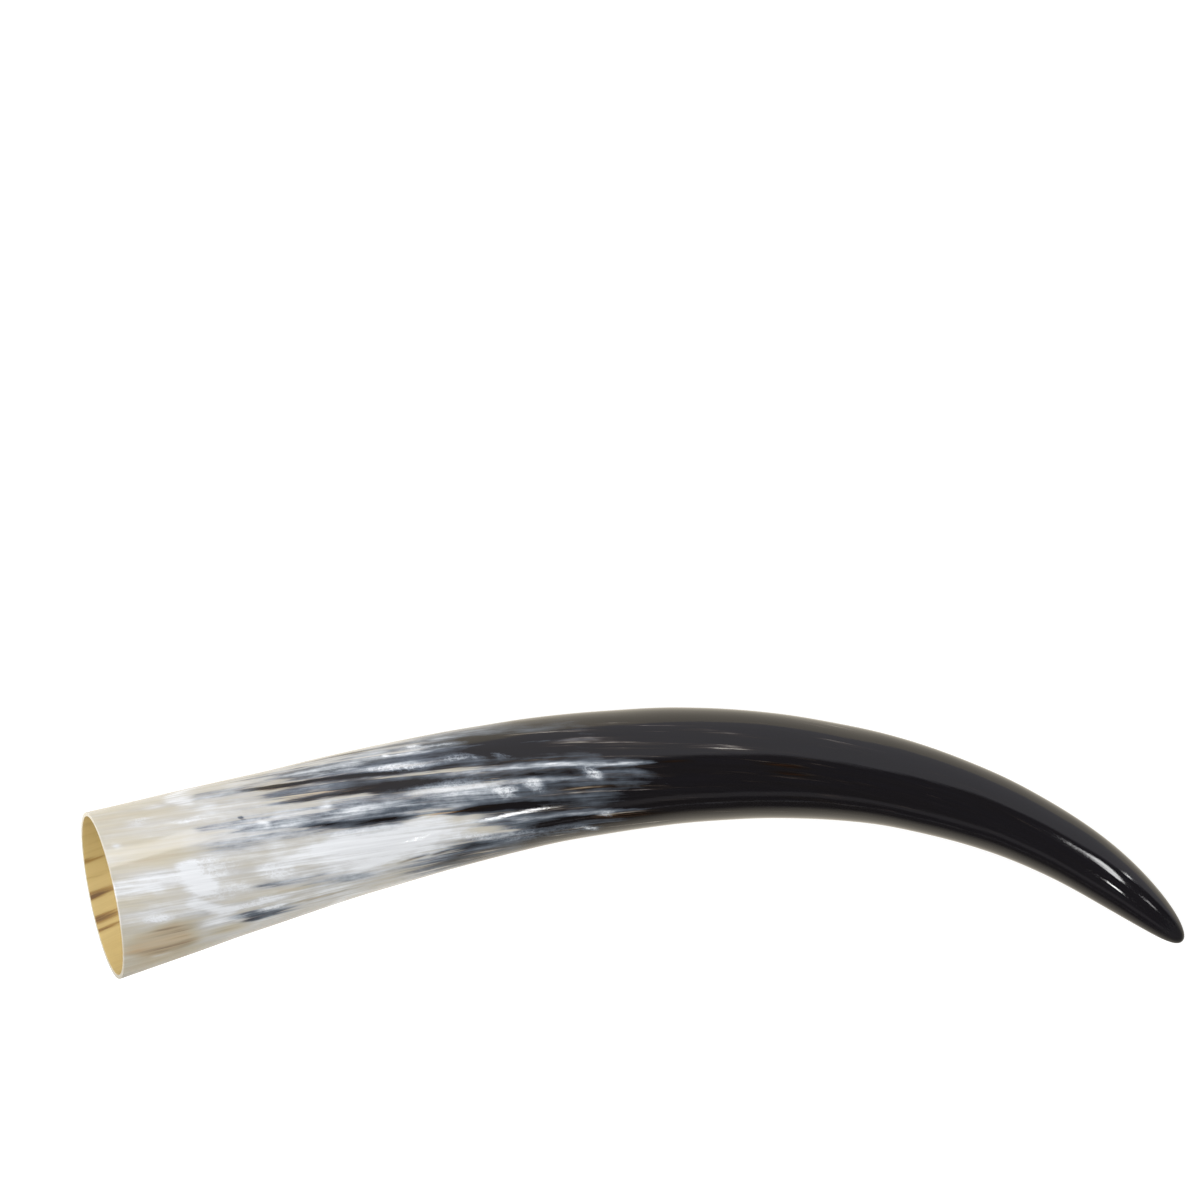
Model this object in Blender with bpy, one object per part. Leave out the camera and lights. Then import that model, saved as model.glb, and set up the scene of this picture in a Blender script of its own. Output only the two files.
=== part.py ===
"""A polished cow horn, lying on its side: a hollow, tapering horn that curves more and more towards its tip."""

import math

import bmesh
import bpy
import numpy as np
from mathutils import Vector

# Driving dimensions, in metres and degrees. Distances along the horn run from the middle of the mouth to the tip.
HORN_LENGTH = 0.6175
MOUTH_CENTRE = (-0.2805, -0.0290)

# Seen from above, the base is straight and the bend then grows in proportion to the distance along the horn.
BASE_HEADING = 16.4
BEND_START = 0.10 * HORN_LENGTH
BEND_ANGLE = 63.6

# Outside radius at shares of the length. The last stretch is also rounded off to the tip, as a long and
# slightly blunt ellipse.
GIRTH = (
    (0.00, 0.0448),
    (0.12, 0.0410),
    (0.26, 0.0374),
    (0.42, 0.0340),
    (0.58, 0.0294),
    (0.74, 0.0231),
    (0.87, 0.0179),
    (1.00, 0.0124),
)
TIP_ROUNDING = 0.078
TIP_BLUNTNESS = 2.3

# Height of the axis above the table at three shares of the length, about the horn's own radius there, so that
# it lies on its rim, on its bend and on the stretch before its tip. The axis stays in the plane through them.
AXIS_HEIGHTS = ((0.00, 0.04501), (0.60, 0.02865), (0.89, 0.01697))

# The mouth is sawn flat. The cut faces outwards along the base and leans up from level by this angle.
MOUTH_LEAN = 25.0

# The hollow that the bony core left: thin-walled at the rim, closing to a rounded point inside the horn.
WALL_AT_RIM = 0.0022
HOLLOW_LENGTH = 0.66 * HORN_LENGTH
WALL_GROWTH = 4.0
HOLLOW_END_ROUNDING = 0.018

# How far the solids run past the mouth before they are cut, and how finely they are faceted.
OVERRUN = 0.060
OUTSIDE_STATIONS = 56
HOLLOW_STATIONS = 34
OUTSIDE_RESOLUTION = 16
HOLLOW_RESOLUTION = 14
PLAN_STEPS = 400

HORN_COLOUR = (0.135, 0.110, 0.085)
HORN_ROUGHNESS = 0.22


def clear_scene():
    """Remove every object, so that the file holds the horn alone."""
    for item in list(bpy.data.objects):
        bpy.data.objects.remove(item, do_unlink=True)


def new_collection(name):
    """Make a collection in the scene."""
    collection = bpy.data.collections.new(name)
    bpy.context.scene.collection.children.link(collection)
    return collection


def horn_material():
    """Polished horn, in one colour between its pale base and its dark tip."""
    material = bpy.data.materials.new("polished_horn")
    material.use_nodes = True
    shader = material.node_tree.nodes["Principled BSDF"]
    shader.inputs["Base Color"].default_value = (*HORN_COLOUR, 1.0)
    shader.inputs["Roughness"].default_value = HORN_ROUGHNESS
    shader.inputs["Metallic"].default_value = 0.0
    return material


def through_stations(share, stations):
    """Smooth curve through (share, value) stations, with each slope taken from its two neighbours."""
    shares, values = np.array(stations).T
    slopes = np.gradient(values, shares, edge_order=1)
    slopes[1:-1] = (values[2:] - values[:-2]) / (shares[2:] - shares[:-2])
    span = int(np.clip(np.searchsorted(shares, share, side="right") - 1, 0, len(shares) - 2))
    width = shares[span + 1] - shares[span]
    t = (share - shares[span]) / width
    if t < 0.0:
        return float(values[0] + slopes[0] * (share - shares[0]))
    start = (2 * t**3 - 3 * t**2 + 1) * values[span] + (t**3 - 2 * t**2 + t) * width * slopes[span]
    end = (3 * t**2 - 2 * t**3) * values[span + 1] + (t**3 - t**2) * width * slopes[span + 1]
    return float(start + end)


def heading(distance):
    """Direction of the axis in plan, as an angle from +X."""
    bent = max(distance - BEND_START, 0.0) / (HORN_LENGTH - BEND_START)
    return math.radians(BASE_HEADING - BEND_ANGLE * bent**2)


def plan_point(distance):
    """Point of the axis in plan, by adding up short steps from the middle of the mouth."""
    step = distance / PLAN_STEPS
    middles = [heading((i + 0.5) * step) for i in range(PLAN_STEPS)]
    x = MOUTH_CENTRE[0] + step * sum(math.cos(angle) for angle in middles)
    y = MOUTH_CENTRE[1] + step * sum(math.sin(angle) for angle in middles)
    return x, y


def axis_plane():
    """The plane z = a + b x + c y that holds the axis, through its three named heights."""
    points = [plan_point(share * HORN_LENGTH) for share, _ in AXIS_HEIGHTS]
    left = np.array([(1.0, x, y) for x, y in points])
    right = np.array([height for _, height in AXIS_HEIGHTS])
    return np.linalg.solve(left, right)


def axis_point(distance, plane):
    """Point of the axis in space."""
    x, y = plan_point(distance)
    return Vector((x, y, float(plane @ (1.0, x, y))))


def outside_radius(distance):
    """Outside radius of the horn, which rounds off to nothing at the tip."""
    radius = through_stations(distance / HORN_LENGTH, GIRTH)
    into_tip = max(distance - (HORN_LENGTH - TIP_ROUNDING), 0.0) / TIP_ROUNDING
    return radius * max(1.0 - into_tip**TIP_BLUNTNESS, 0.0) ** (1.0 / TIP_BLUNTNESS)


def wall_thickness(distance):
    """Thickness of the wall, which grows until it fills the horn at the hollow's end."""
    reach = max(distance, 0.0) / HOLLOW_LENGTH
    solid = outside_radius(HOLLOW_LENGTH)
    return WALL_AT_RIM + (solid - WALL_AT_RIM) * reach**WALL_GROWTH


def hollow_radius(distance):
    """Radius of the hollow: the outside less the wall, rounded off at the hollow's end."""
    start = HOLLOW_LENGTH - HOLLOW_END_ROUNDING
    if distance <= start:
        return outside_radius(distance) - wall_thickness(distance)
    into_end = (distance - start) / HOLLOW_END_ROUNDING
    return (outside_radius(start) - wall_thickness(start)) * math.sqrt(max(1.0 - into_end**2, 0.0))


def tube(name, collection, length, radius_at, stations, resolution):
    """Closed tube along the axis from beyond the mouth to the given distance, with its own radius everywhere.

    The stations lie closer together towards the far end, where the tube rounds off."""
    plane = axis_plane()
    curve = bpy.data.curves.new(name + "_curve", "CURVE")
    curve.dimensions = "3D"
    curve.bevel_depth = 1.0
    curve.bevel_resolution = resolution
    curve.use_fill_caps = True
    spline = curve.splines.new("POLY")
    spline.points.add(stations - 1)
    for i, point in enumerate(spline.points):
        distance = -OVERRUN + (length + OVERRUN) * math.sin(math.pi / 2 * i / (stations - 1))
        point.co = (*axis_point(distance, plane), 1.0)
        point.radius = radius_at(distance)
    guide = bpy.data.objects.new(name + "_guide", curve)
    collection.objects.link(guide)
    return as_mesh_object(guide, name, collection)


def as_mesh_object(guide, name, collection):
    """Turn a beveled curve into a mesh object with welded caps and smooth shading."""
    bpy.context.view_layer.update()
    evaluated = guide.evaluated_get(bpy.context.evaluated_depsgraph_get())
    mesh = bpy.data.meshes.new_from_object(evaluated)
    mesh.name = name
    cage = bmesh.new()
    cage.from_mesh(mesh)
    bmesh.ops.remove_doubles(cage, verts=cage.verts, dist=0.00001)
    bmesh.ops.recalc_face_normals(cage, faces=cage.faces)
    cage.to_mesh(mesh)
    cage.free()
    solid = bpy.data.objects.new(name, mesh)
    solid.matrix_world = guide.matrix_world.copy()
    collection.objects.link(solid)
    bpy.data.objects.remove(guide, do_unlink=True)
    mesh.shade_smooth()
    mesh.set_sharp_from_angle(angle=math.radians(35))
    return solid


def mouth_direction():
    """Unit vector straight out of the sawn mouth."""
    lean = math.radians(MOUTH_LEAN)
    turn = math.radians(BASE_HEADING)
    return Vector((-math.cos(lean) * math.cos(turn), -math.cos(lean) * math.sin(turn), math.sin(lean)))


def mouth_cutter(collection):
    """Box whose near face is the plane of the sawn mouth."""
    side = 5 * OVERRUN
    bpy.ops.mesh.primitive_cube_add(size=side)
    cutter = bpy.context.active_object
    cutter.name = "mouth_cutter"
    outwards = mouth_direction()
    cutter.rotation_euler = outwards.to_track_quat("Z", "Y").to_euler()
    cutter.location = axis_point(0.0, axis_plane()) + outwards * side / 2
    for holder in list(cutter.users_collection):
        holder.objects.unlink(cutter)
    collection.objects.link(cutter)
    return cutter


def cut(solid, cutter):
    """Take the cutter's shape out of a solid."""
    cutter.hide_render = True
    cutter.display_type = "WIRE"
    boolean = solid.modifiers.new("cut_" + cutter.name, "BOOLEAN")
    boolean.operation = "DIFFERENCE"
    boolean.solver = "EXACT"
    boolean.object = cutter


def build_horn():
    """Make the horn as one solid: the tapering outside, less its hollow, less all beyond the mouth."""
    clear_scene()
    parts = new_collection("cow_horn")
    cutters = new_collection("cutters")
    horn = tube("horn", parts, HORN_LENGTH, outside_radius, OUTSIDE_STATIONS, OUTSIDE_RESOLUTION)
    horn.data.materials.clear()
    horn.data.materials.append(horn_material())
    hollow = tube("hollow_cutter", cutters, HOLLOW_LENGTH, hollow_radius, HOLLOW_STATIONS, HOLLOW_RESOLUTION)
    cut(horn, hollow)
    cut(horn, mouth_cutter(cutters))
    return horn


build_horn()
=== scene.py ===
"""A polished cow horn on a pale table: its fine surface, its streaked keratin, and a plain soft studio."""

import logging
import math
import random
from collections.abc import Callable, Mapping, Sequence
from dataclasses import dataclass
from enum import Enum

import bpy
import numpy as np
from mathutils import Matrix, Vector


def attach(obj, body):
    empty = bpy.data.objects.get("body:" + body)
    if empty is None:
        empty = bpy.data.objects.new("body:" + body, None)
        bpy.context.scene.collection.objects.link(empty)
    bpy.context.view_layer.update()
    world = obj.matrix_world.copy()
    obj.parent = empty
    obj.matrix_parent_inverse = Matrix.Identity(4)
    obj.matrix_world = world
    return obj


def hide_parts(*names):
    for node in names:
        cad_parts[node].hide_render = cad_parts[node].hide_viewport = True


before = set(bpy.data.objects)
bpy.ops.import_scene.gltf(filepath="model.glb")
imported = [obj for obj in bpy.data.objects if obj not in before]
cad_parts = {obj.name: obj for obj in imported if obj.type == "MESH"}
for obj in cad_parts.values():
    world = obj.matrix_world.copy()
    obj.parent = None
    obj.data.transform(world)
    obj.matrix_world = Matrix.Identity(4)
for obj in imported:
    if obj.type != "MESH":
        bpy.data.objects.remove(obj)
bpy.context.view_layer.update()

LOG = logging.getLogger("horn")
MM = 0.001

# The surface's own noise: how many random values it picks from, the primes that pick one for each cell of
# its grid, and how far apart its octaves lie, in grid steps.
NOISE_VALUES = 4096
CELL_PRIMES = (73856093, 19349663, 83492791)
OCTAVE_SHIFT = 37.0

# Nearly all of a material's noise lies between these values.
NOISE_LOW = 0.3
NOISE_HIGH = 0.7
NOISE_ROUGHNESS = 0.6

Array = np.ndarray
Span = tuple[float, float]
Stations = tuple[tuple[float, float], ...]
Ramp = tuple[tuple[float, str], ...]
Tree = bpy.types.NodeTree
Socket = bpy.types.NodeSocket


def linear(colour: str) -> tuple[float, float, float, float]:
    """Turn an sRGB hex colour into the linear values that shaders take.

    Args:
        colour: Six hex digits, such as "D9D1C1".

    Returns:
        Red, green, blue and an alpha of 1.
    """
    shares = [int(colour[i : i + 2], 16) / 255 for i in (0, 2, 4)]
    red, green, blue = (v / 12.92 if v <= 0.04045 else ((v + 0.055) / 1.055) ** 2.4 for v in shares)
    return red, green, blue, 1.0


def add_node(
    tree: Tree,
    kind: str,
    settings: Mapping[str, object] | None = None,
    values: Mapping[str | int, object] | None = None,
    links: Mapping[str | int, Socket] | None = None,
    stops: Sequence[tuple[float, str]] = (),
) -> bpy.types.Node:
    """Add a node with its settings, its fixed inputs and its links.

    Args:
        tree: The node tree that takes the node.
        kind: The node's type, without the words ShaderNode in front.
        settings: Properties of the node itself.
        values: Fixed values of inputs, by name or number.
        links: Sockets that feed inputs, by name or number.
        stops: Position and sRGB hex colour of each stop, for a colour ramp.

    Returns:
        The new node.
    """
    node = tree.nodes.new("ShaderNode" + kind)
    for name, value in (settings or {}).items():
        setattr(node, name, value)
    for key, value in (values or {}).items():
        node.inputs[key].default_value = value
    for key, source in (links or {}).items():
        tree.links.new(source, node.inputs[key])
    for i, (place, colour) in enumerate(stops):
        elements = node.color_ramp.elements
        stop = elements[i] if i < 2 else elements.new(place)
        stop.position = place
        stop.color = linear(colour)
    return node


def ease(value: Array, start: float, end: float) -> Array:
    """Rise smoothly from 0 at start to 1 at end, or fall where start is the larger.

    Args:
        value: The values to place between start and end.
        start: Where the result is 0.
        end: Where the result is 1.

    Returns:
        One number from 0 to 1 for each value.
    """
    t = np.clip((value - start) / (end - start), 0.0, 1.0)
    return t * t * (3.0 - 2.0 * t)


def noise(points: Array, seed: int, octaves: int = 3) -> Array:
    """Give smooth seeded noise, as random values on a grid that are eased from one to the next.

    Args:
        points: Places in grid steps, with x, y and z in the last dimension.
        seed: Picks the random values.
        octaves: How many noises are added, each twice as fine and half as strong as the one before.

    Returns:
        Values that lie mostly between -1 and 1.
    """
    table = np.random.default_rng(seed).uniform(-1.0, 1.0, NOISE_VALUES)
    total = np.zeros(points.shape[:-1])
    for octave in range(octaves):
        spot = points * 2.0**octave + OCTAVE_SHIFT * octave
        cell = np.floor(spot).astype(np.int64)
        t = spot - cell
        t = t * t * (3.0 - 2.0 * t)
        layer = np.zeros_like(total)
        for corner in np.ndindex(2, 2, 2):
            weight = np.prod(np.where(corner, t, 1.0 - t), -1)
            x, y, z = np.moveaxis((cell + corner) * CELL_PRIMES, -1, 0)
            layer += weight * table[(x ^ y ^ z) % NOISE_VALUES]
        total += layer / 2.0**octave
    return total


def around(angle: Array, middle: float | Array) -> Array:
    """Give the signed turn in degrees from a middle angle, the short way round."""
    return (angle - middle + 180.0) % 360.0 - 180.0


@dataclass(frozen=True)
class Swell:
    """One low wave of the hand-finished surface: too long to see, but it bends the reflections."""

    length_mm: float
    turns: int
    phase: float
    height_mm: float


@dataclass
class HornForm:
    """The horn's form: round in section, tapering, and bending more and more towards the tip.

    Lengths are in metres and angles in degrees. Stations are shares of the length with a value.
    """

    length: float = 0.6175
    mouth_centre: tuple[float, float] = (-0.2805, -0.0290)
    base_heading: float = 16.4
    straight_share: float = 0.10
    bend_angle: float = 63.6
    girth: Stations = (
        (0.00, 0.0448),
        (0.12, 0.0410),
        (0.26, 0.0374),
        (0.42, 0.0340),
        (0.58, 0.0294),
        (0.74, 0.0231),
        (0.87, 0.0179),
        (1.00, 0.0124),
    )
    tip_rounding: float = 0.078
    tip_bluntness: float = 2.3
    axis_heights: Stations = ((0.00, 0.04501), (0.60, 0.02865), (0.89, 0.01697))
    mouth_lean: float = 25.0
    rim_wall: float = 0.0022
    hollow_share: float = 0.66
    wall_growth: float = 4.0
    hollow_end_rounding: float = 0.018
    overrun: float = 0.060
    axis_steps: int = 6776
    slope_reach: float = 0.0005
    cut_halvings: int = 40
    swells: tuple[Swell, ...] = (
        Swell(length_mm=148.0, turns=2, phase=40.0, height_mm=0.16),
        Swell(length_mm=96.0, turns=3, phase=110.0, height_mm=0.09),
        Swell(length_mm=61.0, turns=1, phase=250.0, height_mm=0.07),
        Swell(length_mm=37.0, turns=4, phase=15.0, height_mm=0.025),
    )
    swells_rise: Span = (0.010, 0.060)
    swells_fall: float = 0.060

    def __post_init__(self) -> None:
        """Lay out the axis once: its places in plan, and the plane that holds it."""
        self.places = np.linspace(-self.overrun, self.length, self.axis_steps)
        straight = self.straight_share * self.length
        bent = np.clip(self.places - straight, 0.0, None) / (self.length - straight)
        turn = np.radians(self.base_heading - self.bend_angle * bent**2)
        middle = (turn[1:] + turn[:-1]) / 2
        step = self.places[1] - self.places[0]
        self.plan_x = np.concatenate([[0.0], np.cumsum(np.cos(middle) * step)])
        self.plan_y = np.concatenate([[0.0], np.cumsum(np.sin(middle) * step)])
        self.plan_x += self.mouth_centre[0] - np.interp(0.0, self.places, self.plan_x)
        self.plan_y += self.mouth_centre[1] - np.interp(0.0, self.places, self.plan_y)
        shares, heights = np.array(self.axis_heights).T
        x, y = self.plan(shares * self.length)
        self.plane = np.linalg.solve(np.stack([np.ones(3), x, y], -1), heights)
        upright = np.array([-self.plane[1], -self.plane[2], 1.0])
        self.upright = upright / np.linalg.norm(upright)

    @property
    def hollow_depth(self) -> float:
        """Distance of the hollow's end from the mouth."""
        return self.hollow_share * self.length

    def plan(self, distance: Array) -> tuple[Array, Array]:
        """Read the axis's x and y at distances from the mouth."""
        return (
            np.interp(distance, self.places, self.plan_x),
            np.interp(distance, self.places, self.plan_y),
        )

    def axis(self, distance: Array) -> Array:
        """Give points of the axis in space, at distances from the mouth."""
        x, y = self.plan(distance)
        return np.stack([x, y, self.plane[0] + self.plane[1] * x + self.plane[2] * y], -1)

    def girth_curve(self, share: Array) -> Array:
        """Run a smooth curve through the girth stations, with each slope taken from its neighbours.

        Args:
            share: Shares of the length, from a little below 0 to 1.

        Returns:
            The radius there before the tip's rounding, in metres.
        """
        shares, radii = np.array(self.girth).T
        slopes = np.gradient(radii, shares)
        slopes[1:-1] = (radii[2:] - radii[:-2]) / (shares[2:] - shares[:-2])
        span = np.clip(np.searchsorted(shares, share, side="right") - 1, 0, len(shares) - 2)
        width = shares[span + 1] - shares[span]
        t = (share - shares[span]) / width
        start = (2 * t**3 - 3 * t**2 + 1) * radii[span] + (t**3 - 2 * t**2 + t) * width * slopes[span]
        end = (3 * t**2 - 2 * t**3) * radii[span + 1] + (t**3 - t**2) * width * slopes[span + 1]
        return np.where(share < 0.0, radii[0] + slopes[0] * share, start + end)

    def outside_radius(self, distance: Array) -> Array:
        """Give the outside radius, which rounds off to nothing at the tip.

        Args:
            distance: Distances from the mouth, in metres.

        Returns:
            The radius there, in metres.
        """
        into_tip = np.clip((distance - self.length + self.tip_rounding) / self.tip_rounding, 0.0, 1.0)
        rounding = (1.0 - into_tip**self.tip_bluntness) ** (1.0 / self.tip_bluntness)
        return self.girth_curve(distance / self.length) * rounding

    def hollow_radius(self, distance: Array) -> Array:
        """Give the hollow's radius: the outside less a wall that grows until it fills the horn.

        Args:
            distance: Distances from the mouth, in metres.

        Returns:
            The radius of the hollow there, which is 0 at its rounded end.
        """
        solid = self.outside_radius(np.array(self.hollow_depth))
        start = self.hollow_depth - self.hollow_end_rounding
        held = np.minimum(distance, start)
        grown = (np.clip(held, 0.0, None) / self.hollow_depth) ** self.wall_growth
        wall = self.rim_wall + (solid - self.rim_wall) * grown
        into_end = np.clip((distance - start) / self.hollow_end_rounding, 0.0, 1.0)
        return (self.outside_radius(held) - wall) * np.sqrt(1.0 - into_end**2)

    def swell(self, distance: Array, angle: Array) -> Array:
        """Give the height of the surface's low waves, which die out at the rim and at the tip.

        Args:
            distance: Distances from the mouth, in metres.
            angle: Degrees round the section.

        Returns:
            How far the surface stands out there, in metres.
        """
        total = np.zeros(np.broadcast(distance, angle).shape)
        for wave in self.swells:
            along = 2 * math.pi * distance / (wave.length_mm * MM)
            total += wave.height_mm * MM * np.sin(along + np.radians(wave.turns * angle + wave.phase))
        rise = ease(distance, *self.swells_rise)
        fall = ease(distance, self.length, self.length - self.swells_fall)
        return total * (rise * fall)

    def point(self, distance: Array, angle: Array, radius: Array) -> Array:
        """Place points around the axis.

        Args:
            distance: Distances from the mouth, in metres.
            angle: Degrees round the section: 0 faces -Y, 90 faces up and 180 faces +Y.
            radius: Distances from the axis, in metres.

        Returns:
            An array with x, y and z in its last dimension.
        """
        ahead = np.minimum(distance + self.slope_reach, self.length)
        along = self.axis(ahead) - self.axis(distance - self.slope_reach)
        side = np.cross(along, self.upright)
        side /= np.linalg.norm(side, axis=-1, keepdims=True)
        turn = np.radians(angle)[..., None]
        return self.axis(distance) + radius[..., None] * (np.cos(turn) * side + np.sin(turn) * self.upright)

    def cut_distance(self, angle: Array, radius_at: Callable[[Array], Array]) -> Array:
        """Find how far along the axis a surface meets the flat sawn mouth, by halving.

        Args:
            angle: Degrees round the section.
            radius_at: The method that gives the surface's radius.

        Returns:
            One distance in metres for each angle.
        """
        lean, turn = math.radians(self.mouth_lean), math.radians(self.base_heading)
        out = np.array([-math.cos(lean) * math.cos(turn), -math.cos(lean) * math.sin(turn), math.sin(lean)])
        centre = self.axis(np.array(0.0))
        low, high = np.full_like(angle, -self.overrun), np.full_like(angle, self.overrun)
        for _ in range(self.cut_halvings):
            middle = (low + high) / 2
            beyond = (self.point(middle, angle, radius_at(middle)) - centre) @ out > 0.0
            low, high = np.where(beyond, middle, low), np.where(beyond, high, middle)
        return (low + high) / 2


class Growth(Enum):
    """What a mark in the keratin is: how much pigment, milky haze, amber tinge and crackle it adds.

    A veil is thin milk over a dark streak, and a few veils over the black also paint highlights and a hazy
    reflection on the polish. Crazed keratin is milk whose layers have parted in fine cracks.
    """

    BLACK = (0.85, -0.36, 0.05, 0.0)
    SLATE = (0.70, 0.20, -0.25, 0.1)
    BROWN = (0.45, -0.22, 0.60, 0.0)
    TAN = (0.06, -0.20, 0.27, 0.0)
    AMBER = (-0.38, -0.25, 0.90, 0.0)
    CREAM = (-0.85, 0.05, 0.15, 0.1)
    VEIL_AND_SHEEN = (0.00, 0.42, -0.10, 0.1)
    MILK = (-0.25, 0.60, -0.20, 0.15)
    CRAZED = (-0.15, 0.42, -0.15, 1.0)

    def __init__(self, pigment: float, haze: float, amber: float, crackle: float) -> None:
        """Name what the growth adds.

        Args:
            pigment: Dark pigment.
            haze: Milky, air-filled keratin.
            amber: The amber tinge of clear keratin.
            crackle: Fine white cracks.
        """
        self.pigment = pigment
        self.haze = haze
        self.amber = amber
        self.crackle = crackle

    @property
    def is_cloud(self) -> bool:
        """Say whether it grows as ragged clouds, and not as streaks between straight fibres."""
        return self in (Growth.MILK, Growth.CRAZED, Growth.TAN)


@dataclass(frozen=True)
class Mark:
    """One streak or cloud in the keratin, from one place on the horn to another.

    Places are millimetres from the mouth and degrees round the section, where 90 is the top. The width is in
    degrees too. A softness of 1 fades over the whole mark, and 0 gives it a sharp outline.
    """

    growth: Growth
    start_mm: float
    start_angle: float
    end_mm: float
    end_angle: float
    width: float
    strength: float = 1.0
    softness: float = 1.0

    OUTER_FADE = 0.4
    INNER_FADE = 0.85

    def cover(self, distance: Array, angle: Array) -> Array:
        """Say how strongly the mark covers each place.

        Args:
            distance: Distances from the mouth, in metres.
            angle: Degrees round the section.

        Returns:
            The mark's strength at its middle, falling to 0 outside its long, pointed outline.
        """
        share = (distance / MM - self.start_mm) / (self.end_mm - self.start_mm)
        middle = self.start_angle + (self.end_angle - self.start_angle) * share
        along = 2.0 * share - 1.0
        across = around(angle, middle) / (self.width / 2)
        clear = 1.0 + self.OUTER_FADE * self.softness
        full = 1.0 - self.INNER_FADE * self.softness
        return self.strength * ease(np.hypot(along, across), clear, full)


BLACK, SLATE, BROWN, TAN, AMBER, CREAM, VEIL_AND_SHEEN, MILK, CRAZED = Growth

# The marks that show from above. Each one gives its growth, its start and its end in millimetres and
# degrees, its width, and then its strength and softness.
MOUTH_MARKS = (
    Mark(MILK, 0, 91, 58, 85, 16, 1.05, 0.6),
    Mark(MILK, 8, 71, 74, 60, 26, 0.60),
    Mark(CRAZED, 50, 90, 82, 83, 16, 1.10),
    Mark(MILK, 52, 92, 63, 89, 12, 1.15),
    Mark(MILK, 53, 80, 69, 76, 17, 1.35, 0.8),
    Mark(MILK, 51, 64, 64, 60, 17, 1.00, 0.8),
    Mark(CRAZED, 58, 72, 84, 66, 14, 0.70),
    Mark(MILK, 56, 54, 74, 50, 12, 0.90),
    Mark(MILK, 54, 45, 74, 38, 12, 0.85),
    Mark(CRAZED, 64, 52, 96, 45, 8, 1.30),
    Mark(MILK, 50, 158, 64, 154, 34, 0.90),
    Mark(CRAZED, 46, 126, 68, 119, 9, 0.70),
    Mark(CRAZED, 29, 136, 42, 132, 9, 0.70),
    Mark(MILK, 36, 152, 50, 148, 6, 0.50),
    Mark(MILK, 20, 119, 27, 117, 3.5, 0.90),
    Mark(CRAZED, 28, 63, 44, 57, 8, 1.30),
    Mark(MILK, 24, 28, 34, 25, 5, 0.60),
    Mark(TAN, 8, 46, 55, 35, 29, 1.20, 0.45),
    Mark(TAN, 26, 46, 53, 36, 18, 0.30),
    Mark(TAN, 14, 77, 58, 69, 10, 0.55, 0.7),
    Mark(TAN, 20, 112, 62, 100, 16, 0.50),
    Mark(TAN, 2, 24, 60, 14, 20, 0.80),
    Mark(TAN, 58, 34, 80, 28, 14, 0.90),
    Mark(SLATE, 42, 60, 58, 52, 7, 0.20),
    Mark(SLATE, 58, 117, 90, 105, 5, 0.45),
)

EARLY_MARKS = (
    Mark(SLATE, 60, 152, 160, 132, 46, 0.38),
    Mark(TAN, 64, 160, 150, 138, 42, 0.70),
    Mark(SLATE, 60, 106, 122, 93, 22, 0.46),
    Mark(SLATE, 124, 144, 200, 129, 12, 0.90),
    Mark(BROWN, 118, 122, 192, 108, 10, 0.62),
    Mark(SLATE, 64, 42, 101, 28, 13, 0.78),
    Mark(BLACK, 74, 36, 98, 29, 8, 0.55),
    Mark(CRAZED, 80, 40, 93, 36, 6, 1.10),
    Mark(BROWN, 92, 37, 130, 29, 3, 0.90),
    Mark(SLATE, 74, 65, 122, 55, 8, 0.50),
    Mark(TAN, 84, 56, 122, 48, 7, 0.80),
    Mark(SLATE, 108, 52, 148, 42, 16, 0.36),
    Mark(SLATE, 120, 46, 140, 41, 10, 0.30),
    Mark(CRAZED, 92, 74, 110, 67, 14, 1.00),
    Mark(SLATE, 74, 110, 196, 86, 22, 0.55),
    Mark(SLATE, 78, 107, 122, 96, 4, 0.55),
    Mark(BLACK, 108, 98, 146, 89, 4, 0.70),
    Mark(SLATE, 126, 103, 182, 89, 14, 0.80),
    Mark(BLACK, 124, 93, 174, 81, 8, 0.85),
    Mark(BLACK, 142, 95, 184, 87, 5, 0.80),
    Mark(SLATE, 126, 85, 170, 74, 9, 0.60),
    Mark(BROWN, 138, 88, 184, 80, 4, 0.95),
    Mark(BROWN, 92, 139, 122, 132, 5, 0.80),
    Mark(BLACK, 96, 138, 152, 127, 5, 0.75),
    Mark(BLACK, 116, 131, 176, 120, 7, 0.66),
    Mark(BLACK, 140, 128, 206, 114, 8, 0.80),
    Mark(SLATE, 108, 144, 168, 131, 12, 0.70),
    Mark(BROWN, 102, 123, 146, 114, 8, 0.50),
    Mark(BLACK, 104, 119, 160, 110, 5, 0.72),
    Mark(BLACK, 132, 119, 190, 108, 7, 0.50),
    Mark(BLACK, 144, 112, 206, 101, 8, 0.85),
    Mark(BROWN, 118, 126, 160, 118, 4, 0.70),
    Mark(SLATE, 92, 153, 186, 136, 12, 0.56),
    Mark(SLATE, 100, 160, 196, 146, 14, 0.30),
    Mark(BLACK, 186, 146, 230, 139, 7, 0.60),
    Mark(BLACK, 130, 142, 196, 130, 7, 0.45),
    Mark(BLACK, 138, 139, 186, 130, 9, 0.62),
    Mark(SLATE, 104, 129, 152, 119, 8, 0.55),
    Mark(SLATE, 150, 40, 212, 33, 9, 0.50),
    Mark(BROWN, 152, 31, 206, 27, 8, 0.50),
    Mark(BROWN, 154, 47, 190, 41, 2, 0.90),
    Mark(MILK, 104, 77, 206, 62, 21, 1.00, 0.7),
    Mark(MILK, 112, 62, 206, 48, 20, 0.85),
    Mark(CRAZED, 152, 129, 192, 120, 9, 1.15),
    Mark(CRAZED, 168, 105, 222, 91, 18, 0.42),
    Mark(MILK, 172, 99, 198, 92, 14, 0.45),
    Mark(MILK, 166, 80, 194, 73, 8, 0.55),
    Mark(BLACK, 82.5, 115.5, 86.5, 112.5, 2.8, 0.62),
    Mark(MILK, 91, 106, 96, 104.5, 5, 0.75),
    Mark(MILK, 125, 108, 132, 106, 6, 0.40),
)

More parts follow.
